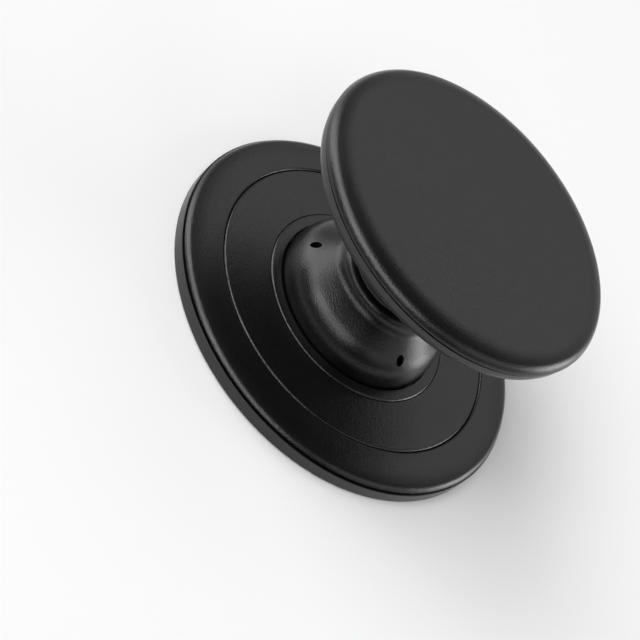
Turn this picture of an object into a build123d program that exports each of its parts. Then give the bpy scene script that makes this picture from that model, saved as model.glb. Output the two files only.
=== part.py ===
"""Collapsible round grip for the back of a handset, modelled pulled out.

A magnetic base carries a folded, hollow stalk, and the stalk carries a round
finger plate that pushes down onto the base. Millimetres, +Z up, origin at the
centre of the underside.
"""
import os
from math import cos, radians, sin

from build123d import *

# Clearances
FIT = 0.10              # between fixed pieces that sit one inside the other
STALK_GAP = 0.25        # round the stalk where it leaves the collar
PINCH = 0.05            # over the stalk's foot, under the collar
MAGNET_PLAY = 0.20      # round the magnets in their channel
GROOVE = 0.36           # shadow line between a lower shell and its cover
DECK_GAP = 0.05         # ring line between the deck and the cover
COLLAPSED_GAP = 0.30    # finger plate over the collar, pushed fully down

# Base, from the stalk outwards
STALK_R = 13.30
COLLAR_W = 1.69
COLLAR_FLANGE_W = 1.16
INSERT_W = 7.60
COVER_RIB_W = 0.66
MAGNET_W = 2.95
SPIGOT_W = 1.10
BASE_RIM_W = 0.80

# Base, from the underside up
PAD_T = 0.60
PAD_PROUD = 0.12
PAD_INSET = 1.40        # pad edge to base edge
FLOOR_T = 0.35
FOOT_T = 1.10           # clamped flange of the stalk
MAGNET_T = 1.10
SHUNT_T = 0.30
ROOF_T = 1.05           # cover over the magnets
COLLAR_RISE = 0.25      # collar above the deck
COLLAR_FLANGE_T = 0.50
SPIGOT_DROP = 0.60      # cover spigot below the top of the tray's rim
MAGNET_COUNT = 16
MAGNET_SPACE = 0.50     # between neighbouring magnets at their inner ends

# Rounded rims: a tight arc up from the groove, then a wide one into the flat top
COVER_INSET = 0.25      # cover's edge inside the tray's edge
COVER_CROWN_W = 3.90
COVER_LEAN = 30.0       # degrees that the rim leans in at the groove
COVER_TURN = 74.0       # degrees where the tight arc ends
CAP_CROWN_W = 3.65
CAP_CROWN_H = 1.77
CAP_LEAN = 12.0
CAP_TURN = 68.0

# Folded stalk
STALK_H = 24.80         # well floor to the underside of the finger plate
SKIN_T = 0.90
FOOT_W = 1.50           # clamped flange beyond the wall
STAND = 0.75            # straight wall above the collar
SHOULDER_R = 5.40
SHOULDER_TURN = 52.0
SLOPE = 2.50            # straight run between the shoulder and the hollow above it
HOLLOW_R = 2.40
HOLLOW_TURN = 15.0      # degrees that the wall leans in where the hollow ends
RIDGE_R = 1.60          # first fold, above the hollow
FOLD_TURN = 80.0        # degrees where a fold meets its crease
TIER_COUNT = 2          # narrowing tiers above the first fold
TIER_H = 2.60           # wall of a tier
TIER_DRAFT = 3.0        # degrees that a tier's wall leans in
FLARE_R = 1.50
HEAD_W = 2.70           # head flange beyond the flare
HEAD_T = 1.00
SOCKET_H = 2.00         # thick ring that the plate's post snaps into
VENT_D = 1.25
VENT_TILT = 49.0        # where on the shoulder the vents are
VENT_COUNT = 3
VENT_START = 90.0

# Finger plate
PLATE_R = 23.65
CAP_OVERHANG = 0.18
BACK_TAPER_H = 0.89
BACK_TAPER_W = 0.35
BACK_RIM_H = 0.78
BACK_FLOOR_T = 1.00
BACK_WALL_W = 1.75
CAP_SPIGOT_W = 0.80
CAP_SPIGOT_DROP = 0.50
CAP_ROOF_T = 1.35
POST_R = 3.20
BARB_W = 0.35
BARB_H = 0.50

# Eased edges
SOFT_EDGE = 0.25
FINE_EDGE = 0.10
DECK_EDGE = 0.40        # the two lips along the ring line
COLLAR_EDGE = 0.38

# Radii that follow from the widths
COLLAR_BORE = STALK_R + STALK_GAP
COLLAR_R = COLLAR_BORE + COLLAR_W
COLLAR_FLANGE_R = COLLAR_R + COLLAR_FLANGE_W
INSERT_BORE = COLLAR_R + FIT
INSERT_R = INSERT_BORE + INSERT_W
COVER_BORE = INSERT_R + DECK_GAP
LAND_R = COVER_BORE + COVER_RIB_W
MAGNET_IN_R = LAND_R + MAGNET_PLAY
MAGNET_OUT_R = MAGNET_IN_R + MAGNET_W
CHANNEL_R = MAGNET_OUT_R + MAGNET_PLAY
SPIGOT_R = CHANNEL_R + SPIGOT_W
LEDGE_R = SPIGOT_R + FIT
BASE_R = LEDGE_R + BASE_RIM_W
COVER_R = BASE_R - COVER_INSET
PAD_R = BASE_R - PAD_INSET
FOOT_R = STALK_R + FOOT_W
WELL_R = FOOT_R + 2 * FIT
CAVITY_R = PLATE_R - BACK_WALL_W
CAP_R = PLATE_R + CAP_OVERHANG
CAP_SPIGOT_R = CAVITY_R + CAP_SPIGOT_W
SOCKET_R = POST_R + FIT

# Heights that follow from the thicknesses
FLOOR_Z = PAD_T + FLOOR_T
FOOT_Z = FLOOR_Z + FOOT_T
LAND_Z = FOOT_Z + PINCH
LEDGE_Z = LAND_Z - SPIGOT_DROP
COVER_EDGE_Z = LAND_Z + GROOVE
SHUNT_Z = FLOOR_Z + MAGNET_T
ROOF_Z = SHUNT_Z + SHUNT_T + FIT
COVER_Z = ROOF_Z + ROOF_T
COLLAR_FLANGE_Z = LAND_Z + COLLAR_FLANGE_T
COLLAR_Z = COVER_Z + COLLAR_RISE
STAND_Z = COLLAR_Z + STAND
PLATE_Z = FLOOR_Z + STALK_H
HEAD_Z = PLATE_Z - HEAD_T
SOCKET_Z = PLATE_Z - SOCKET_H
BACK_RIM_Z = PLATE_Z + BACK_TAPER_H
BACK_FLOOR_Z = PLATE_Z + BACK_FLOOR_T
BACK_TOP_Z = BACK_RIM_Z + BACK_RIM_H
CAP_LEDGE_Z = BACK_TOP_Z - CAP_SPIGOT_DROP
CAP_EDGE_Z = BACK_TOP_Z + GROOVE
CAP_Z = CAP_EDGE_Z + CAP_CROWN_H
CAP_ROOF_Z = CAP_Z - CAP_ROOF_T
TRAVEL = PLATE_Z - COLLAR_Z - COLLAPSED_GAP


def turned(*corners):
    """Solid turned about Z from section corners (radius, height[, eased edge])."""
    section = make_face(Polyline(*[(c[0], c[1]) for c in corners], close=True))
    for radius, height, *edge in corners:
        if edge:
            corner = section.vertices().sort_by_distance(Vector(radius, height))[0]
            section = chamfer(corner, edge[0])
    return revolve(Plane.XZ * section, Axis.Z)


def facing(angle):
    """Unit vector in the section plane; 0 faces outwards and 90 faces up."""
    return Vector(cos(radians(angle)), sin(radians(angle)))


def skin_path(start, angle, steps, inset=0.0):
    """Edges of a smooth run of lines and arcs, and its last point.

    Each step is ("rise", length), ("bulge", radius, new angle) or
    ("tuck", radius, new angle). The run is traced at an inset from the skin,
    and an arc that comes out with no radius is a sharp corner.
    """
    edges = []
    point = Vector(*start)
    for kind, size, *turn in steps:
        if kind == "rise":
            ahead = point + facing(angle + 90) * size
            edges.append(Line(point - facing(angle) * inset, ahead - facing(angle) * inset))
            point = ahead
            continue
        side = 1 if kind == "bulge" else -1
        centre = point - facing(angle) * size * side
        reach = size * side - inset
        middle = (angle + turn[0]) / 2
        if reach:
            edges.append(ThreePointArc(*[centre + facing(a) * reach for a in (angle, middle, turn[0])]))
        angle = turn[0]
        point = centre + facing(angle) * size * side
    return edges, point


def crown_steps(width, height, lean, turn):
    """Two tangent arcs that take a leaning edge into a flat top."""
    inwards = facing(lean).X - facing(turn).X
    upwards = facing(turn).Y - facing(lean).Y
    share = (1 - facing(turn).Y) / facing(turn).X
    tight = (height - share * width) / (upwards - share * inwards)
    wide = (width - tight * inwards) / facing(turn).X
    return [("bulge", tight, turn), ("bulge", wide, 90.0)]


def section_solid(edges, *corners):
    """Solid turned about Z from an edge run closed by straight lines."""
    ends = [edges[-1] @ 1, *[Vector(*corner) for corner in corners], edges[0] @ 0]
    lines = [Line(a, b) for a, b in zip(ends, ends[1:])]
    return revolve(Plane.XZ * make_face([*edges, *lines]), Axis.Z)


def friction_pad():
    """Soft disc on the underside, a little proud of the tray."""
    return turned((0, 0), (PAD_R, 0, FINE_EDGE), (PAD_R, PAD_T), (0, PAD_T))


def base_tray():
    """Lower shell with a well for the stalk's foot and a channel for the magnets."""
    return turned(
        (0, PAD_T), (PAD_R + FIT, PAD_T), (PAD_R + FIT, PAD_PROUD),
        (BASE_R, PAD_PROUD, SOFT_EDGE), (BASE_R, LAND_Z, FINE_EDGE),
        (LEDGE_R, LAND_Z), (LEDGE_R, LEDGE_Z), (CHANNEL_R, LEDGE_Z), (CHANNEL_R, FLOOR_Z),
        (LAND_R, FLOOR_Z), (LAND_R, LAND_Z), (WELL_R, LAND_Z), (WELL_R, FLOOR_Z), (0, FLOOR_Z),
    )


def magnet(index):
    """One arc of the magnet ring."""
    pitch = 360 / MAGNET_COUNT
    space = MAGNET_SPACE / radians(MAGNET_IN_R)
    section = make_face(Polyline(
        (MAGNET_IN_R, FLOOR_Z), (MAGNET_OUT_R, FLOOR_Z),
        (MAGNET_OUT_R, SHUNT_Z), (MAGNET_IN_R, SHUNT_Z), close=True,
    ))
    arc = revolve(Plane.XZ * section, Axis.Z, pitch - space)
    return Rot(0, 0, index * pitch) * arc


def shunt_ring():
    """Steel ring over the magnets that turns their pull downwards."""
    top = SHUNT_Z + SHUNT_T
    return turned((MAGNET_IN_R, SHUNT_Z), (MAGNET_OUT_R, SHUNT_Z), (MAGNET_OUT_R, top), (MAGNET_IN_R, top))


def base_cover():
    """Outer ring with a rounded rim; a spigot and a rib seat it in the tray."""
    arcs = crown_steps(COVER_CROWN_W, COVER_Z - COVER_EDGE_Z, COVER_LEAN, COVER_TURN)
    crown, _ = skin_path((COVER_R, COVER_EDGE_Z), COVER_LEAN, arcs)
    return section_solid(
        crown,
        (COVER_BORE + DECK_EDGE, COVER_Z), (COVER_BORE, COVER_Z - DECK_EDGE),
        (COVER_BORE, LAND_Z), (LAND_R, LAND_Z), (LAND_R, ROOF_Z),
        (CHANNEL_R, ROOF_Z), (CHANNEL_R, LEDGE_Z), (SPIGOT_R, LEDGE_Z), (SPIGOT_R, COVER_EDGE_Z),
    )


def deck_insert():
    """Inner deck, flush with the cover, that holds the collar down."""
    recess_z = COLLAR_FLANGE_Z + PINCH
    return turned(
        (COLLAR_FLANGE_R + FIT, LAND_Z), (INSERT_R, LAND_Z), (INSERT_R, COVER_Z, DECK_EDGE),
        (INSERT_BORE, COVER_Z), (INSERT_BORE, recess_z), (COLLAR_FLANGE_R + FIT, recess_z),
    )


def stalk_collar():
    """Raised ring with a soft edge that clamps the stalk's foot."""
    edge, _ = skin_path((COLLAR_R, COLLAR_Z - COLLAR_EDGE), 0.0, [("bulge", COLLAR_EDGE, 90.0)])
    return section_solid(
        edge,
        (COLLAR_BORE + FINE_EDGE, COLLAR_Z), (COLLAR_BORE, COLLAR_Z - FINE_EDGE),
        (COLLAR_BORE, LAND_Z), (COLLAR_FLANGE_R, LAND_Z), (COLLAR_FLANGE_R, COLLAR_FLANGE_Z),
        (COLLAR_R, COLLAR_FLANGE_Z),
    )


def stalk_steps():
    """Folds of the stalk from the top of its foot to its head flange."""
    folds = [("rise", STAND_Z - FOOT_Z), ("bulge", SHOULDER_R, SHOULDER_TURN)]
    folds += [("rise", SLOPE), ("tuck", HOLLOW_R, HOLLOW_TURN)]
    for tier in range(TIER_COUNT):
        fold_r = SKIN_T if tier else RIDGE_R
        folds += [("bulge", fold_r, FOLD_TURN), ("tuck", 0.0, TIER_DRAFT), ("rise", TIER_H)]
    folds += [("bulge", SKIN_T, FOLD_TURN), ("tuck", 0.0, 0.0)]
    _, top = skin_path((STALK_R, FOOT_Z), 0.0, folds)
    return [*folds, ("rise", HEAD_Z - FLARE_R - top.Y)], top.X


def stalk():
    """Hollow folded stalk, moulded in one piece with its foot and head."""
    steps, neck_r = stalk_steps()
    start = (STALK_R, FOOT_Z)
    outer, _ = skin_path(start, 0.0, [*steps, ("tuck", FLARE_R, -90.0)])
    inner, _ = skin_path(start, 0.0, steps, SKIN_T)
    head_r = neck_r + FLARE_R + HEAD_W
    bore_r = neck_r - SKIN_T
    foot = [(STALK_R - SKIN_T, FLOOR_Z), (FOOT_R, FLOOR_Z), (FOOT_R, FOOT_Z), start]
    head = [outer[-1] @ 1, (head_r, HEAD_Z), (head_r, PLATE_Z), (SOCKET_R, PLATE_Z)]
    ring = [(SOCKET_R, PLATE_Z), (SOCKET_R, SOCKET_Z), (bore_r, SOCKET_Z), inner[-1] @ 1]
    runs = [Polyline(*foot), *outer, Polyline(*head), Polyline(*ring), *inner]
    runs.append(Line(inner[0] @ 0, foot[0]))
    body = revolve(Plane.XZ * make_face(runs), Axis.Z)
    return body - vent_cutters()


def vent_cutters():
    """Round vents up through the shoulder, as core pins along the pull of the mould leave them."""
    spot = Vector(STALK_R - SHOULDER_R, STAND_Z) + facing(VENT_TILT) * SHOULDER_R
    cutter = Pos(spot.X, 0, spot.Y) * Cylinder(VENT_D / 2, 4 * SKIN_T)
    pitch = 360 / VENT_COUNT
    return [Rot(0, 0, VENT_START + i * pitch) * cutter for i in range(VENT_COUNT)]


def plate_back():
    """Under shell of the finger plate, with the barbed post that holds the stalk."""
    barb_z = SOCKET_Z - PINCH
    tip_z = barb_z - BARB_H
    return turned(
        (0, tip_z), (POST_R - BARB_W, tip_z), (POST_R + BARB_W, barb_z), (POST_R, barb_z), (POST_R, PLATE_Z),
        (PLATE_R - BACK_TAPER_W, PLATE_Z, SOFT_EDGE), (PLATE_R, BACK_RIM_Z), (PLATE_R, BACK_TOP_Z, FINE_EDGE),
        (CAP_SPIGOT_R + FIT, BACK_TOP_Z), (CAP_SPIGOT_R + FIT, CAP_LEDGE_Z), (CAVITY_R, CAP_LEDGE_Z),
        (CAVITY_R, BACK_FLOOR_Z), (0, BACK_FLOOR_Z),
    )


def plate_face():
    """Cap of the finger plate, with a rounded rim and a flat top."""
    arcs = crown_steps(CAP_CROWN_W, CAP_CROWN_H, CAP_LEAN, CAP_TURN)
    crown, _ = skin_path((CAP_R, CAP_EDGE_Z), CAP_LEAN, arcs)
    return section_solid(
        crown,
        (0, CAP_Z), (0, CAP_ROOF_Z), (CAVITY_R, CAP_ROOF_Z), (CAVITY_R, CAP_LEDGE_Z),
        (CAP_SPIGOT_R, CAP_LEDGE_Z), (CAP_SPIGOT_R, CAP_EDGE_Z),
    )


def main():
    """Write each piece to its own file."""
    pieces = {
        "friction_pad": friction_pad(),
        "base_tray": base_tray(),
        "shunt_ring": shunt_ring(),
        "base_cover": base_cover(),
        "deck_insert": deck_insert(),
        "stalk_collar": stalk_collar(),
        "stalk": stalk(),
        "plate_back": plate_back(),
        "plate_face": plate_face(),
    }
    for index in range(MAGNET_COUNT):
        pieces[f"magnet_{index + 1:02d}"] = magnet(index)
    os.makedirs("parts", exist_ok=True)
    for name, piece in pieces.items():
        export_step(piece, f"parts/{name}.step")
    print(f"base radius {BASE_R:.2f}, height {CAP_Z:.2f}, travel {TRAVEL:.2f}")


main()
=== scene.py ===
"""Looks of a collapsible round grip: turned shells, a folded stalk and their finishes.

The packed solids give the places and the outer sizes. The pieces that show are
turned again here with rounded edges and fine facets, in metres and in the same frame.
"""
from math import atan2, ceil, cos, pi, radians, sin, tan

import bmesh
import bpy
from mathutils import Matrix, Vector


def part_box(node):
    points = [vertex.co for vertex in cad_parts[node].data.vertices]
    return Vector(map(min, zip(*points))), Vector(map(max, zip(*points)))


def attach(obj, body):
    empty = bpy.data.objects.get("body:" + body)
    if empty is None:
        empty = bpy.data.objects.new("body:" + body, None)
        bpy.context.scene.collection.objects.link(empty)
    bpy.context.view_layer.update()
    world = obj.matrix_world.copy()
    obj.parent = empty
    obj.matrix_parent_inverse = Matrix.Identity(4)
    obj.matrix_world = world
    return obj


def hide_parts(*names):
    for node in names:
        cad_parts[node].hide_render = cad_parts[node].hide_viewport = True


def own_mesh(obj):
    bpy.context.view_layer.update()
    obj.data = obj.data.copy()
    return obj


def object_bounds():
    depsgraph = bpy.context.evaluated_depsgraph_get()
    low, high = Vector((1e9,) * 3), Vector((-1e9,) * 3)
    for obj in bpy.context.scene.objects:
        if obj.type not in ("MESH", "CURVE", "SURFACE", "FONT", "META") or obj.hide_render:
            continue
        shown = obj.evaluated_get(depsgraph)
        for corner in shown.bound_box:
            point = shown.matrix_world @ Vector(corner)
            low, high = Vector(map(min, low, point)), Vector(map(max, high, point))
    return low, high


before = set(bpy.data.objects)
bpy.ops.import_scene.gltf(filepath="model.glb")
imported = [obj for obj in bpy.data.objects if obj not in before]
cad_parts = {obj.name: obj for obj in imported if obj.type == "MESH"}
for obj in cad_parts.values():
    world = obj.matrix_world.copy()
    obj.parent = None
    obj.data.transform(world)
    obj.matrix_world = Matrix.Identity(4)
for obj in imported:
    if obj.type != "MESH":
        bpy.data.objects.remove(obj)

bl_info = {
    "name": "Collapsible Grip",
    "version": (1, 0, 0),
    "blender": (4, 5, 0),
    "location": "View3D > Sidebar > Grip",
    "description": "Builds the pieces, finishes and studio of a pull-out grip around its packed solids",
    "category": "Object",
}

MM = 0.001
UP = radians(90.0)

# How finely the pieces are turned; points nearer than SAME_PLACE are one point
TURN_FACETS = 288
VENT_FACETS = 48
ARC_STEP = radians(5.0)
SHARP_ANGLE = radians(32.0)
SAME_PLACE = 0.001 * MM

# Nearly all values of a noise pattern lie between these two
NOISE_LOW = 0.3
NOISE_HIGH = 0.7

# Moulded finishes: tint of the grain's tops and pits, and width of the patches of even gloss
GRAIN_TINT = 0.2
GLOSS_PATCH = 6.0 * MM

# Metal finishes: scuffs are long and thin, shallow, and change the gloss by a share
SCUFF_STRETCH = 25.0
SCUFF_DEPTH = 0.004 * MM
SCUFF_STRENGTH = 0.3
SCUFF_GLOSS = 0.3

# Studio: half the floor's width, its gap under the grip and the light that it gives of itself
FLOOR_REACH = 3.0
FLOOR_GAP = 0.02 * MM
FLOOR_LIFT = 0.03

# Studio: level of the room light by height, from the horizon up, its share on the camera's side,
# and the two places along Y between which that share grows to the whole
ROOM_LEVELS = ((0.0, 0.45), (0.17, 0.42), (0.40, 0.26), (0.60, 0.12), (0.80, 0.05))
ROOM_FRONT_SHARE = 0.10
ROOM_FRONT_END = -0.5
ROOM_REAR_START = 0.3

# Places and outer sizes that the packed solids give
CAD_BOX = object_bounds()
PAD_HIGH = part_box("friction_pad")[1]
TRAY_LOW, TRAY_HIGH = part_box("base_tray")
SHUNT_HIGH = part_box("shunt_ring")[1]
COVER_LOW, COVER_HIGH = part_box("base_cover")
INSERT_LOW, INSERT_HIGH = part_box("deck_insert")
COLLAR_LOW, COLLAR_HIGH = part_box("stalk_collar")
STALK_LOW, STALK_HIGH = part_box("stalk")
BACK_LOW, BACK_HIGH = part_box("plate_back")
FACE_LOW, FACE_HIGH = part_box("plate_face")


def linear(hex_colour):
    """Linear RGBA of an sRGB hex colour such as 1A1A1B."""
    shares = [int(hex_colour[i:i + 2], 16) / 255 for i in (0, 2, 4)]
    return [s / 12.92 if s <= 0.04045 else ((s + 0.055) / 1.055) ** 2.4 for s in shares] + [1.0]


def length(label, text, millimetres):
    """A property for a size, held in metres."""
    return bpy.props.FloatProperty(
        name=label, description=text, default=millimetres * MM, min=0.0, precision=5, unit="LENGTH",
    )


def angle(label, text, degrees):
    """A property for an angle, held in radians."""
    return bpy.props.FloatProperty(name=label, description=text, default=radians(degrees), subtype="ANGLE")


def count(label, text, number):
    """A property for a number of like features."""
    return bpy.props.IntProperty(name=label, description=text, default=number, min=1)


def colour(label, text, hex_colour):
    """A property for a colour, held as linear RGBA."""
    return bpy.props.FloatVectorProperty(
        name=label, description=text, default=linear(hex_colour), size=4, min=0.0, max=1.0, subtype="COLOR",
    )


class GripBaseSizes(bpy.types.PropertyGroup):
    """Sizes of the base shells, the deck and the collar."""

    fit: length("Fit", "Gap between fixed pieces that sit one inside the other", 0.10)
    pinch: length("Pinch", "Gap over a clamped flange", 0.05)
    groove: length("Groove", "Shadow line between a lower shell and its cover", 0.36)
    fine_edge: length("Fine edge", "Rounding of the small edges", 0.10)
    deck_edge: length("Deck edge", "Rounding of the two lips along the ring line", 0.40)
    soft_edge: length("Soft edge", "Rounding of the lower edges that a hand meets", 0.25)
    rim_wall: length("Rim wall", "Wall of the tray outside the cover's spigot", 0.80)
    magnet_play: length("Magnet play", "Room round the magnets in their channel", 0.20)
    magnet_width: length("Magnet width", "Width of the magnet ring", 2.95)
    deck_gap: length("Deck gap", "Ring line between the deck and the cover", 0.05)
    crown_width: length("Crown width", "Width of the cover's rounded rim", 3.90)
    crown_lean: angle("Crown lean", "Lean of the cover's rim at the groove", 30.0)
    crown_turn: angle("Crown turn", "Where the tight arc of the cover's rim ends", 74.0)
    collar_width: length("Collar width", "Width of the raised collar", 1.69)
    collar_flange: length("Collar flange", "Width of the collar's hidden flange", 1.16)
    collar_flange_height: length("Flange height", "Thickness of the collar's hidden flange", 0.50)
    collar_edge: length("Collar edge", "Rounding of the collar's outer edge", 0.38)


class GripStalkSizes(bpy.types.PropertyGroup):
    """Sizes of the folded stalk."""

    skin: length("Skin", "Wall of the moulded skin", 0.90)
    foot_width: length("Foot width", "Clamped flange beyond the wall", 1.50)
    foot_height: length("Foot height", "Thickness of the clamped flange", 1.10)
    stand: length("Stand", "Straight wall above the collar", 0.75)
    shoulder: length("Shoulder", "Radius of the broad shoulder", 5.40)
    shoulder_turn: angle("Shoulder turn", "Angle turned by the shoulder", 52.0)
    slope: length("Slope", "Straight slope above the shoulder", 2.50)
    hollow: length("Hollow", "Radius of the hollow above the slope", 2.40)
    hollow_turn: angle("Hollow turn", "Lean of the wall where the hollow ends", 15.0)
    ridge: length("Ridge", "Radius of the first fold, above the hollow", 1.60)
    fold_turn: angle("Fold turn", "Angle turned by a tight fold", 80.0)
    crease: length("Crease", "Outer radius in the crease of a tight fold", 0.25)
    tier_count: count("Tiers", "Tiers above the first tight fold", 2)
    tier_height: length("Tier height", "Wall of a tier", 2.60)
    tier_draft: angle("Tier draft", "Lean of a tier's wall", 3.0)
    flare: length("Flare", "Radius under the head flange", 1.50)
    head_width: length("Head width", "Head flange beyond the flare", 2.70)
    head_height: length("Head height", "Thickness of the head flange", 1.00)
    socket_height: length("Socket height", "Thick ring that the post snaps into", 2.00)
    vent: length("Vent", "Diameter of a vent", 1.25)
    vent_tilt: angle("Vent tilt", "Where on the shoulder the vents are", 49.0)
    vent_count: count("Vents", "Vents round the shoulder", 3)
    vent_start: angle("Vent start", "Direction of the first vent", 90.0)


class GripPlateSizes(bpy.types.PropertyGroup):
    """Sizes of the finger plate's two shells."""

    taper_height: length("Taper height", "Height of the sloped lower edge", 0.89)
    taper_width: length("Taper width", "Width of the sloped lower edge", 0.35)
    floor: length("Floor", "Thickness of the under shell's floor", 1.00)
    wall: length("Wall", "Width of the under shell's wall", 1.75)
    spigot: length("Spigot", "Width of the cap's spigot", 0.80)
    roof: length("Roof", "Thickness of the cap's roof", 1.35)
    crown_width: length("Crown width", "Width of the cap's rounded rim", 3.65)
    crown_lean: angle("Crown lean", "Lean of the cap's rim at the groove", 12.0)
    crown_turn: angle("Crown turn", "Where the tight arc of the cap's rim ends", 68.0)
    post: length("Post", "Radius of the post in the stalk's head", 3.20)
    barb_width: length("Barb width", "How far the barb stands out of the post", 0.35)
    barb_height: length("Barb height", "Height of the barb", 0.50)


class GripColours(bpy.types.PropertyGroup):
    """Colours of the finishes."""

    shell: colour("Shell", "Moulded shells", "0C0C0D")
    stalk: colour("Stalk", "Moulded stalk", "070708")
    pad: colour("Pad", "Friction pad", "2A2B2D")
    nickel: colour("Nickel", "Plating of the magnets", "C9C4BA")
    steel: colour("Steel", "Shunt ring", "A9ABAE")
    floor: colour("Floor", "Studio paper", "F2F2F2")


class GripStage(bpy.types.PropertyGroup):
    """Place and lens of the camera."""

    azimuth: angle("Azimuth", "Camera turned round the grip", 4.4)
    elevation: angle("Elevation", "Camera above the base", 40.0)
    roll: angle("Roll", "Camera turned about its own axis", 51.26)
    distance: length("Distance", "Camera to the aim point", 259.1)
    lens: bpy.props.FloatProperty(
        name="Lens", description="Focal length in millimetres", default=101.25, min=1.0, unit="CAMERA",
    )
    aim: bpy.props.FloatVectorProperty(
        name="Aim", description="Point in the middle of the picture before the azimuth turn",
        default=(-1.86 * MM, -1.77 * MM, -2.10 * MM), precision=5, subtype="TRANSLATION", unit="LENGTH",
    )


def facing(turn):
    """Unit direction in a section; 0 faces outwards and a quarter turn faces up."""
    return Vector((cos(turn), sin(turn)))


def arc(centre, size, start, end):
    """Section points along an arc, both ends included."""
    steps = max(3, ceil(abs(end - start) / ARC_STEP))
    return [centre + facing(start + (end - start) * i / steps) * size for i in range(steps + 1)]


def rounded(*corners):
    """Section points through corners (radius, height[, rounding])."""
    points = []
    for index, (radius, height, *rounding) in enumerate(corners):
        here = Vector((radius, height))
        if not rounding:
            points.append(here)
            continue
        back = (Vector(corners[index - 1][:2]) - here).normalized()
        ahead = (Vector(corners[(index + 1) % len(corners)][:2]) - here).normalized()
        half = back.angle(ahead) / 2
        centre = here + (back + ahead).normalized() * rounding[0] / sin(half)
        first = here + back * rounding[0] / tan(half) - centre
        last = here + ahead * rounding[0] / tan(half) - centre
        start = atan2(first.y, first.x)
        turn = (atan2(last.y, last.x) - start + pi) % (2 * pi) - pi
        points += arc(centre, rounding[0], start, start + turn)
    return points


def skin_run(start, turn, steps, inset=0.0):
    """Section points along straight walls, bulges and tucks, traced at an inset from the skin.

    Each step is ("rise", length), ("bulge", radius, new angle) or ("tuck", radius, new angle).
    """
    point = Vector(start)
    points = [point - facing(turn) * inset]
    for kind, size, *new_turn in steps:
        if kind == "rise":
            point = point + facing(turn + UP) * size
            points.append(point - facing(turn) * inset)
            continue
        side = 1 if kind == "bulge" else -1
        centre = point - facing(turn) * size * side
        if abs(size * side - inset) > SAME_PLACE:
            points += arc(centre, size * side - inset, turn, new_turn[0])[1:]
        turn = new_turn[0]
        point = centre + facing(turn) * size * side
    return points


def crown(start, top_z, size):
    """Section points of two tangent arcs that take a leaning edge into a flat top."""
    inwards = cos(size.crown_lean) - cos(size.crown_turn)
    upwards = sin(size.crown_turn) - sin(size.crown_lean)
    share = (1 - sin(size.crown_turn)) / cos(size.crown_turn)
    tight = (top_z - start[1] - share * size.crown_width) / (upwards - share * inwards)
    wide = (size.crown_width - tight * inwards) / cos(size.crown_turn)
    return skin_run(start, size.crown_lean, [("bulge", tight, size.crown_turn), ("bulge", wide, UP)])


def turned(name, node, section, body, material):
    """Piece turned about Z from a closed section, in place of a solid."""
    shape = bmesh.new()
    corners = [shape.verts.new((p.x, 0.0, p.y)) for p in section]
    sides = zip(corners, corners[1:] + corners[:1])
    edges = [shape.edges.new(pair) for pair in sides if any(v.co.x > 0 for v in pair)]
    bmesh.ops.spin(
        shape, geom=corners + edges, cent=(0, 0, 0), axis=(0, 0, 1), angle=2 * pi,
        steps=TURN_FACETS, use_merge=True,
    )
    bmesh.ops.remove_doubles(shape, verts=shape.verts, dist=SAME_PLACE)
    bmesh.ops.recalc_face_normals(shape, faces=shape.faces)
    mesh = bpy.data.meshes.new(name)
    shape.to_mesh(mesh)
    shape.free()
    piece = bpy.data.objects.new(name, mesh)
    bpy.context.scene.collection.objects.link(piece)
    mesh.materials.append(material)
    mesh.shade_smooth()
    mesh.set_sharp_from_angle(angle=SHARP_ANGLE)
    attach(piece, body)
    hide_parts(node)
    return piece


def add(tree, kind, settings=None, numbered=None, **named):
    """Node with its settings; its inputs, by number or by name, take a value or an output socket."""
    node = tree.nodes.new(kind)
    for field, value in (settings or {}).items():
        setattr(node, field, value)
    inputs = {name.replace("_", " "): value for name, value in named.items()}
    for key, value in {**(numbered or {}), **inputs}.items():
        socket = node.inputs[key]
        if isinstance(value, bpy.types.NodeSocket):
            tree.links.new(value, socket)
        else:
            socket.default_value = value
    return node


def surface(name):
    """New material with an empty tree, and its tree."""
    material = bpy.data.materials.new(name)
    material.use_nodes = True
    material.node_tree.nodes.clear()
    return material, material.node_tree


def moulded(name, base, grain_mm, grain_depth_mm, roughness, gloss_drift, ior):
    """Moulded polymer: the mould leaves a fine grain, and uneven cooling leaves slow drifts of gloss."""
    material, tree = surface(name)
    place = add(tree, "ShaderNodeTexCoord").outputs["Object"]
    grain = add(tree, "ShaderNodeTexNoise", Vector=place, Scale=1 / (grain_mm * MM), Detail=1.0)
    patches = add(tree, "ShaderNodeTexNoise", Vector=place, Scale=1 / GLOSS_PATCH, Detail=2.0)
    gloss = add(
        tree, "ShaderNodeMapRange", Value=patches.outputs["Fac"], From_Min=NOISE_LOW, From_Max=NOISE_HIGH,
        To_Min=roughness - gloss_drift, To_Max=roughness + gloss_drift,
    )
    dark, light = ([c * share for c in base[:3]] + [1.0] for share in (1 - GRAIN_TINT, 1 + GRAIN_TINT))
    tint = add(tree, "ShaderNodeMix", {"data_type": "RGBA"}, {0: grain.outputs["Fac"], 6: dark, 7: light})
    relief = add(
        tree, "ShaderNodeBump", Height=grain.outputs["Fac"], Strength=1.0, Distance=grain_depth_mm * MM,
    )
    shader = add(
        tree, "ShaderNodeBsdfPrincipled", Base_Color=tint.outputs[2], Roughness=gloss.outputs["Result"],
        Normal=relief.outputs["Normal"], IOR=ior,
    )
    add(tree, "ShaderNodeOutputMaterial", Surface=shader.outputs["BSDF"])
    return material


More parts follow.
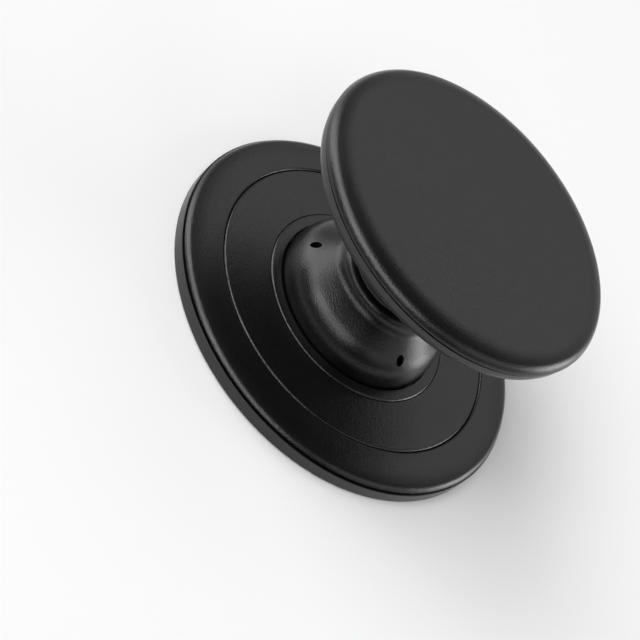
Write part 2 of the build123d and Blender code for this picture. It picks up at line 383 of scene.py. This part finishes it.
def plated(name, base, roughness, scuff_mm):
    """Plated or rolled metal: a clean mirror broken by faint scuffs that run one way."""
    material, tree = surface(name)
    place = add(tree, "ShaderNodeTexCoord").outputs["Object"]
    along = add(tree, "ShaderNodeMapping", Vector=place, Scale=(1 / SCUFF_STRETCH, 1.0, 1.0))
    scuff = add(
        tree, "ShaderNodeTexNoise", Vector=along.outputs["Vector"], Scale=1 / (scuff_mm * MM), Detail=3.0,
    )
    gloss = add(
        tree, "ShaderNodeMapRange", Value=scuff.outputs["Fac"], From_Min=NOISE_LOW, From_Max=NOISE_HIGH,
        To_Min=roughness * (1 - SCUFF_GLOSS), To_Max=roughness * (1 + SCUFF_GLOSS),
    )
    relief = add(
        tree, "ShaderNodeBump", Height=scuff.outputs["Fac"], Strength=SCUFF_STRENGTH, Distance=SCUFF_DEPTH,
    )
    shader = add(
        tree, "ShaderNodeBsdfPrincipled", Base_Color=base, Metallic=1.0,
        Roughness=gloss.outputs["Result"], Normal=relief.outputs["Normal"],
    )
    add(tree, "ShaderNodeOutputMaterial", Surface=shader.outputs["BSDF"])
    return material


def shell_material():
    """Black PC-ABS from a spark-eroded mould, made once for all the shells."""
    name = "pc_abs_spark_eroded_black"
    # Satin black, with highlights whose ends break into a fine sparkle. The real grain is about
    # 0.06 mm wide, too fine to show in the render, so it is drawn as coarse as it needs to show.
    return bpy.data.materials.get(name) or moulded(
        name, bpy.context.scene.grip_colours.shell,
        grain_mm=0.20, grain_depth_mm=0.034, roughness=0.287, gloss_drift=0.01, ior=1.55,
    )


def stalk_material():
    """Black TPU elastomer from a satin mould."""
    # Deeper black than the shells, with soft bright bands along the folds. The grain is drawn
    # as coarse as the shells' one, for the same reason.
    return moulded(
        "tpu_satin_moulded_black", bpy.context.scene.grip_colours.stalk,
        grain_mm=0.20, grain_depth_mm=0.032, roughness=0.281, gloss_drift=0.006, ior=1.5,
    )


def pad_material():
    """Grey silicone from a matte mould."""
    # Dull and even: it shows no clear highlight, only a pale bloom at a low angle.
    return moulded(
        "silicone_matte_moulded_grey", bpy.context.scene.grip_colours.pad,
        grain_mm=0.30, grain_depth_mm=0.010, roughness=0.62, gloss_drift=0.05, ior=1.41,
    )


def magnet_material():
    """Bright nickel plate over the magnets."""
    # A warm mirror, slightly blurred, with faint scuffs from handling.
    finish_colour = bpy.context.scene.grip_colours.nickel
    return plated("nickel_plated_bright", finish_colour, roughness=0.22, scuff_mm=0.30)


def shunt_material():
    """Cold-rolled steel of the shunt ring."""
    # A duller, cooler mirror than the nickel, streaked along the way that it was rolled.
    finish_colour = bpy.context.scene.grip_colours.steel
    return plated("steel_cold_rolled", finish_colour, roughness=0.35, scuff_mm=0.15)


class GRIP_OT_base_shells(bpy.types.Operator):
    """Turn the tray and the ring-shaped cover of the base"""

    bl_idname = "grip.base_shells"
    bl_label = "Base Shells"

    def execute(self, context):
        size = context.scene.grip_base
        rim_r = TRAY_HIGH.x
        ledge_r = rim_r - size.rim_wall
        spigot_r = ledge_r - size.fit
        channel_r = SHUNT_HIGH.x + size.magnet_play
        land_r = SHUNT_HIGH.x - size.magnet_width - size.magnet_play
        well_r = STALK_HIGH.x + 2 * size.fit
        cover_bore = INSERT_HIGH.x + size.deck_gap
        edge_z = TRAY_HIGH.z + size.groove
        tray = rounded(
            (0, PAD_HIGH.z), (PAD_HIGH.x + size.fit, PAD_HIGH.z), (PAD_HIGH.x + size.fit, TRAY_LOW.z),
            (rim_r, TRAY_LOW.z, size.soft_edge), (rim_r, TRAY_HIGH.z, size.fine_edge),
            (ledge_r, TRAY_HIGH.z), (ledge_r, COVER_LOW.z), (channel_r, COVER_LOW.z),
            (channel_r, STALK_LOW.z), (land_r, STALK_LOW.z), (land_r, TRAY_HIGH.z),
            (well_r, TRAY_HIGH.z), (well_r, STALK_LOW.z), (0, STALK_LOW.z),
        )
        cover = crown((COVER_HIGH.x, edge_z), COVER_HIGH.z, size)
        roof_z = SHUNT_HIGH.z + size.fit
        cover += rounded(
            (land_r, COVER_HIGH.z), (cover_bore, COVER_HIGH.z, size.deck_edge), (cover_bore, TRAY_HIGH.z),
            (land_r, TRAY_HIGH.z), (land_r, roof_z), (channel_r, roof_z), (channel_r, COVER_LOW.z),
            (spigot_r, COVER_LOW.z), (spigot_r, edge_z),
        )
        turned("tray", "base_tray", tray, "base", shell_material())
        turned("cover_ring", "base_cover", cover, "base", shell_material())
        return {"FINISHED"}


class GRIP_OT_deck(bpy.types.Operator):
    """Turn the flush deck and the raised collar round the stalk"""

    bl_idname = "grip.deck"
    bl_label = "Deck and Collar"

    def execute(self, context):
        size = context.scene.grip_base
        flange_r = COLLAR_HIGH.x
        collar_r = flange_r - size.collar_flange
        collar_bore = collar_r - size.collar_width
        flange_z = COLLAR_LOW.z + size.collar_flange_height
        recess_z = flange_z + size.pinch
        recess_r = flange_r + size.fit
        insert = rounded(
            (recess_r, INSERT_LOW.z), (INSERT_HIGH.x, INSERT_LOW.z),
            (INSERT_HIGH.x, INSERT_HIGH.z, size.deck_edge), (collar_r + size.fit, INSERT_HIGH.z),
            (collar_r + size.fit, recess_z), (recess_r, recess_z),
        )
        collar = rounded(
            (collar_bore, COLLAR_LOW.z), (flange_r, COLLAR_LOW.z), (flange_r, flange_z), (collar_r, flange_z),
            (collar_r, COLLAR_HIGH.z, size.collar_edge), (collar_bore, COLLAR_HIGH.z, size.fine_edge),
        )
        turned("flush_deck", "deck_insert", insert, "base", shell_material())
        turned("collar_ring", "stalk_collar", collar, "base", shell_material())
        return {"FINISHED"}


class GRIP_OT_stalk(bpy.types.Operator):
    """Turn the folded stalk and drill its vents"""

    bl_idname = "grip.stalk"
    bl_label = "Stalk"

    def folds(self, size, radius, foot_z, crease):
        """Steps from the top of the foot to the head flange, and the neck's radius."""
        stand_z = COLLAR_HIGH.z + size.stand
        steps = [
            ("rise", stand_z - foot_z), ("bulge", size.shoulder, size.shoulder_turn), ("rise", size.slope),
            ("tuck", size.hollow, size.hollow_turn),
        ]
        for tier in range(size.tier_count):
            fold = (size.skin if tier else size.ridge) - crease
            steps += [("bulge", fold, size.fold_turn), ("tuck", crease, size.tier_draft)]
            steps += [("rise", size.tier_height)]
        steps += [("bulge", size.skin - crease, size.fold_turn), ("tuck", crease, 0.0)]
        top = skin_run((radius, foot_z), 0.0, steps)[-1]
        head_z = STALK_HIGH.z - size.head_height
        return [*steps, ("rise", head_z - size.flare - top.y)], top.x

    def execute(self, context):
        size = context.scene.grip_stalk
        base = context.scene.grip_base
        plate = context.scene.grip_plate
        radius = STALK_HIGH.x - size.foot_width
        foot_z = STALK_LOW.z + size.foot_height
        start = (radius, foot_z)
        outer_steps, neck_r = self.folds(size, radius, foot_z, size.crease)
        inner_steps, _ = self.folds(size, radius, foot_z, 0.0)
        outer = skin_run(start, 0.0, [*outer_steps, ("tuck", size.flare, -UP)])
        inner = skin_run(start, 0.0, inner_steps, size.skin)
        head_r = neck_r + size.flare + size.head_width
        head_z = STALK_HIGH.z - size.head_height
        socket_r = plate.post + base.fit
        socket_z = STALK_HIGH.z - size.socket_height
        section = rounded(
            (radius - size.skin, STALK_LOW.z), (STALK_HIGH.x, STALK_LOW.z), (STALK_HIGH.x, foot_z),
        )
        section += outer
        section += rounded(
            (head_r, head_z), (head_r, STALK_HIGH.z), (socket_r, STALK_HIGH.z), (socket_r, socket_z),
            (neck_r - size.skin, socket_z),
        )
        section += reversed(inner)
        stalk = turned("folded_stalk", "stalk", section, "base", stalk_material())
        self.drill(stalk, size, radius)
        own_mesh(stalk)
        return {"FINISHED"}

    def drill(self, stalk, size, radius):
        """Cut the round vents up through the shoulder, along the pull of the mould."""
        centre = Vector((radius - size.shoulder, COLLAR_HIGH.z + size.stand))
        spot = centre + facing(size.vent_tilt) * size.shoulder
        through = 4 * size.skin
        shape = bmesh.new()
        for index in range(size.vent_count):
            spin = Matrix.Rotation(size.vent_start + 2 * pi * index / size.vent_count, 4, "Z")
            shift = Matrix.Translation((spot.x, 0, spot.y))
            bmesh.ops.create_cone(
                shape, cap_ends=True, segments=VENT_FACETS, radius1=size.vent / 2, radius2=size.vent / 2,
                depth=through, matrix=spin @ shift,
            )
        mesh = bpy.data.meshes.new("vent_drills")
        shape.to_mesh(mesh)
        shape.free()
        drills = bpy.data.objects.new("vent_drills", mesh)
        bpy.context.scene.collection.objects.link(drills)
        cut = stalk.modifiers.new("vents", "BOOLEAN")
        cut.object = drills
        cut.operation = "DIFFERENCE"
        cut.solver = "EXACT"
        graph = bpy.context.evaluated_depsgraph_get()
        holed = bpy.data.meshes.new_from_object(stalk.evaluated_get(graph))
        stalk.modifiers.clear()
        stalk.data = holed
        bpy.data.objects.remove(drills)
        holed.set_sharp_from_angle(angle=SHARP_ANGLE)


class GRIP_OT_finger_plate(bpy.types.Operator):
    """Turn the under shell and the cap of the finger plate"""

    bl_idname = "grip.finger_plate"
    bl_label = "Finger Plate"

    def execute(self, context):
        size = context.scene.grip_plate
        base = context.scene.grip_base
        plate_r = BACK_HIGH.x
        plate_z = STALK_HIGH.z
        cavity_r = plate_r - size.wall
        spigot_r = cavity_r + size.spigot
        edge_z = BACK_HIGH.z + base.groove
        tip_z = BACK_LOW.z
        barb_z = tip_z + size.barb_height
        back = rounded(
            (0, tip_z), (size.post - size.barb_width, tip_z), (size.post + size.barb_width, barb_z),
            (size.post, barb_z), (size.post, plate_z), (plate_r - size.taper_width, plate_z, base.soft_edge),
            (plate_r, plate_z + size.taper_height, base.soft_edge), (plate_r, BACK_HIGH.z, base.fine_edge),
            (spigot_r + base.fit, BACK_HIGH.z), (spigot_r + base.fit, FACE_LOW.z), (cavity_r, FACE_LOW.z),
            (cavity_r, plate_z + size.floor), (0, plate_z + size.floor),
        )
        face = crown((FACE_HIGH.x, edge_z), FACE_HIGH.z, size)
        roof_z = FACE_HIGH.z - size.roof
        face += rounded(
            (0, FACE_HIGH.z), (0, roof_z), (cavity_r, roof_z), (cavity_r, FACE_LOW.z),
            (spigot_r, FACE_LOW.z), (spigot_r, edge_z),
        )
        turned("plate_under_shell", "plate_back", back, "plate", shell_material())
        turned("plate_cap", "plate_face", face, "plate", shell_material())
        return {"FINISHED"}


class GRIP_OT_inner_pieces(bpy.types.Operator):
    """Finish the pad, the magnets and the shunt ring"""

    bl_idname = "grip.inner_pieces"
    bl_label = "Pad, Magnets and Shunt"

    def execute(self, context):
        silicone = pad_material()
        nickel = magnet_material()
        steel = shunt_material()
        for name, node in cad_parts.items():
            finish = {"friction_pad": silicone, "shunt_ring": steel}.get(name)
            if name.startswith("magnet"):
                finish = nickel
            if finish:
                node.data.materials.clear()
                node.data.materials.append(finish)
        return {"FINISHED"}


class GRIP_OT_studio(bpy.types.Operator):
    """Lay the floor, set the soft lights and place the camera"""

    bl_idname = "grip.studio"
    bl_label = "Studio"

    def execute(self, context):
        self.floor(context.scene.grip_colours.floor)
        self.sky()
        self.softbox("front_softbox", azimuth=-5.0, elevation=45.0, width=3.4, height=1.7, radiance=2.9)
        self.softbox("front_left_softbox", azimuth=-58.0, elevation=48.0, width=2.2, height=2.2, radiance=2.6)
        self.softbox("left_softbox", azimuth=-97.0, elevation=28.0, width=1.7, height=2.8, radiance=3.0)
        self.softbox("right_softbox", azimuth=131.0, elevation=12.0, width=1.1, height=1.3, radiance=5.6)
        self.softbox("side_panel", azimuth=86.0, elevation=38.0, width=2.2, height=1.8, radiance=0.70)
        self.softbox("rear_panel", azimuth=183.0, elevation=42.0, width=2.6, height=1.15, radiance=0.83)
        self.camera(context.scene.grip_stage)
        context.scene.view_settings.view_transform = "Standard"
        return {"FINISHED"}

    def floor(self, paper):
        """Wide matte floor, lifted a little to white where it is seen, so that it keeps the shadow."""
        mesh = bpy.data.meshes.new("floor")
        shape = bmesh.new()
        bmesh.ops.create_grid(shape, x_segments=1, y_segments=1, size=FLOOR_REACH)
        shape.to_mesh(mesh)
        shape.free()
        floor = bpy.data.objects.new("floor", mesh)
        floor.location.z = CAD_BOX[0].z - FLOOR_GAP
        bpy.context.scene.collection.objects.link(floor)
        # Uncoated white paper: flat and even, without a highlight
        material, tree = surface("paper_matte_white")
        shade = add(tree, "ShaderNodeBsdfDiffuse", Color=paper)
        rays = add(tree, "ShaderNodeLightPath").outputs
        seen = add(
            tree, "ShaderNodeCombineXYZ",
            X=rays["Is Camera Ray"], Y=rays["Is Glossy Ray"], Z=rays["Is Transmission Ray"],
        )
        seen = add(tree, "ShaderNodeVectorMath", {"operation": "LENGTH"}, Vector=seen.outputs["Vector"])
        grey = (FLOOR_LIFT, FLOOR_LIFT, FLOOR_LIFT, 1.0)
        lift = add(tree, "ShaderNodeEmission", Color=grey, Strength=seen.outputs["Value"])
        both = add(
            tree, "ShaderNodeAddShader", numbered={0: shade.outputs["BSDF"], 1: lift.outputs["Emission"]},
        )
        add(tree, "ShaderNodeOutputMaterial", Surface=both.outputs["Shader"])
        mesh.materials.append(material)

    def sky(self):
        """Soft room light, pale low down behind the grip, and dark overhead and on the camera's side."""
        world = bpy.data.worlds.new("studio_room")
        bpy.context.scene.world = world
        world.use_nodes = True
        tree = world.node_tree
        tree.nodes.clear()
        way = add(tree, "ShaderNodeTexCoord").outputs["Generated"]
        way = add(tree, "ShaderNodeSeparateXYZ", Vector=way).outputs
        ramp = add(tree, "ShaderNodeValToRGB", Fac=way["Z"])
        while len(ramp.color_ramp.elements) < len(ROOM_LEVELS):
            ramp.color_ramp.elements.new(1.0)
        for element, (height, level) in zip(ramp.color_ramp.elements, ROOM_LEVELS):
            element.position = height
            element.color = (level, level, level, 1.0)
        rear = add(
            tree, "ShaderNodeMapRange", Value=way["Y"], From_Min=ROOM_FRONT_END, From_Max=ROOM_REAR_START,
            To_Min=ROOM_FRONT_SHARE, To_Max=1.0,
        )
        light = add(
            tree, "ShaderNodeBackground", Color=ramp.outputs["Color"], Strength=rear.outputs["Result"],
        )
        add(tree, "ShaderNodeOutputWorld", Surface=light.outputs["Background"])

    def softbox(self, name, azimuth, elevation, width, height, radiance, distance=3.0):
        """Rectangular soft light that faces the grip; angles in degrees, azimuth 0 on the camera's side."""
        lamp = bpy.data.lights.new(name, "AREA")
        lamp.shape = "RECTANGLE"
        lamp.size = width
        lamp.size_y = height
        lamp.energy = pi * radiance * width * height
        box = bpy.data.objects.new(name, lamp)
        bpy.context.scene.collection.objects.link(box)
        turn = Matrix.Rotation(radians(azimuth), 4, "Z") @ Matrix.Rotation(UP - radians(elevation), 4, "X")
        box.matrix_world = turn @ Matrix.Translation((0, 0, distance))

    def camera(self, stage):
        """Camera at the viewing angle, with the grip's axis leaning across the picture."""
        lens = bpy.data.cameras.new("camera")
        lens.lens = stage.lens
        lens.sensor_width = 36.0
        lens.clip_start = 0.01
        lens.clip_end = 20.0
        camera = bpy.data.objects.new("camera", lens)
        bpy.context.scene.collection.objects.link(camera)
        swing = Matrix.Rotation(stage.azimuth, 4, "Z")
        tilt = Matrix.Rotation(UP - stage.elevation, 4, "X")
        back = Matrix.Translation((0, 0, stage.distance))
        roll = Matrix.Rotation(stage.roll, 4, "Z")
        camera.matrix_world = swing @ Matrix.Translation(stage.aim) @ tilt @ back @ roll
        bpy.context.scene.camera = camera


class GRIP_PT_sidebar(bpy.types.Panel):
    """Sizes, colours and building steps of the grip"""

    bl_idname = "GRIP_PT_sidebar"
    bl_label = "Collapsible Grip"
    bl_space_type = "VIEW_3D"
    bl_region_type = "UI"
    bl_category = "Grip"

    def draw(self, context):
        for pointer, group in GROUPS.items():
            column = self.layout.column(align=True)
            column.label(text=group.__doc__)
            for field in group.__annotations__:
                column.prop(getattr(context.scene, pointer), field)
        for operator in OPERATORS:
            self.layout.operator(operator.bl_idname)


GROUPS = {
    "grip_base": GripBaseSizes,
    "grip_stalk": GripStalkSizes,
    "grip_plate": GripPlateSizes,
    "grip_colours": GripColours,
    "grip_stage": GripStage,
}
OPERATORS = (
    GRIP_OT_base_shells,
    GRIP_OT_deck,
    GRIP_OT_stalk,
    GRIP_OT_finger_plate,
    GRIP_OT_inner_pieces,
    GRIP_OT_studio,
)
CLASSES = (*GROUPS.values(), *OPERATORS, GRIP_PT_sidebar)


def register():
    """Register the classes and hang the property groups on the scene."""
    for cls in CLASSES:
        bpy.utils.register_class(cls)
    for pointer, group in GROUPS.items():
        setattr(bpy.types.Scene, pointer, bpy.props.PointerProperty(type=group))


def unregister():
    """Take the property groups and the classes away again."""
    for pointer in GROUPS:
        delattr(bpy.types.Scene, pointer)
    for cls in reversed(CLASSES):
        bpy.utils.unregister_class(cls)


def main():
    """Build every piece and the studio."""
    register()
    bpy.ops.grip.base_shells()
    bpy.ops.grip.deck()
    bpy.ops.grip.stalk()
    bpy.ops.grip.finger_plate()
    bpy.ops.grip.inner_pieces()
    bpy.ops.grip.studio()


if __name__ == "__main__":
    main()
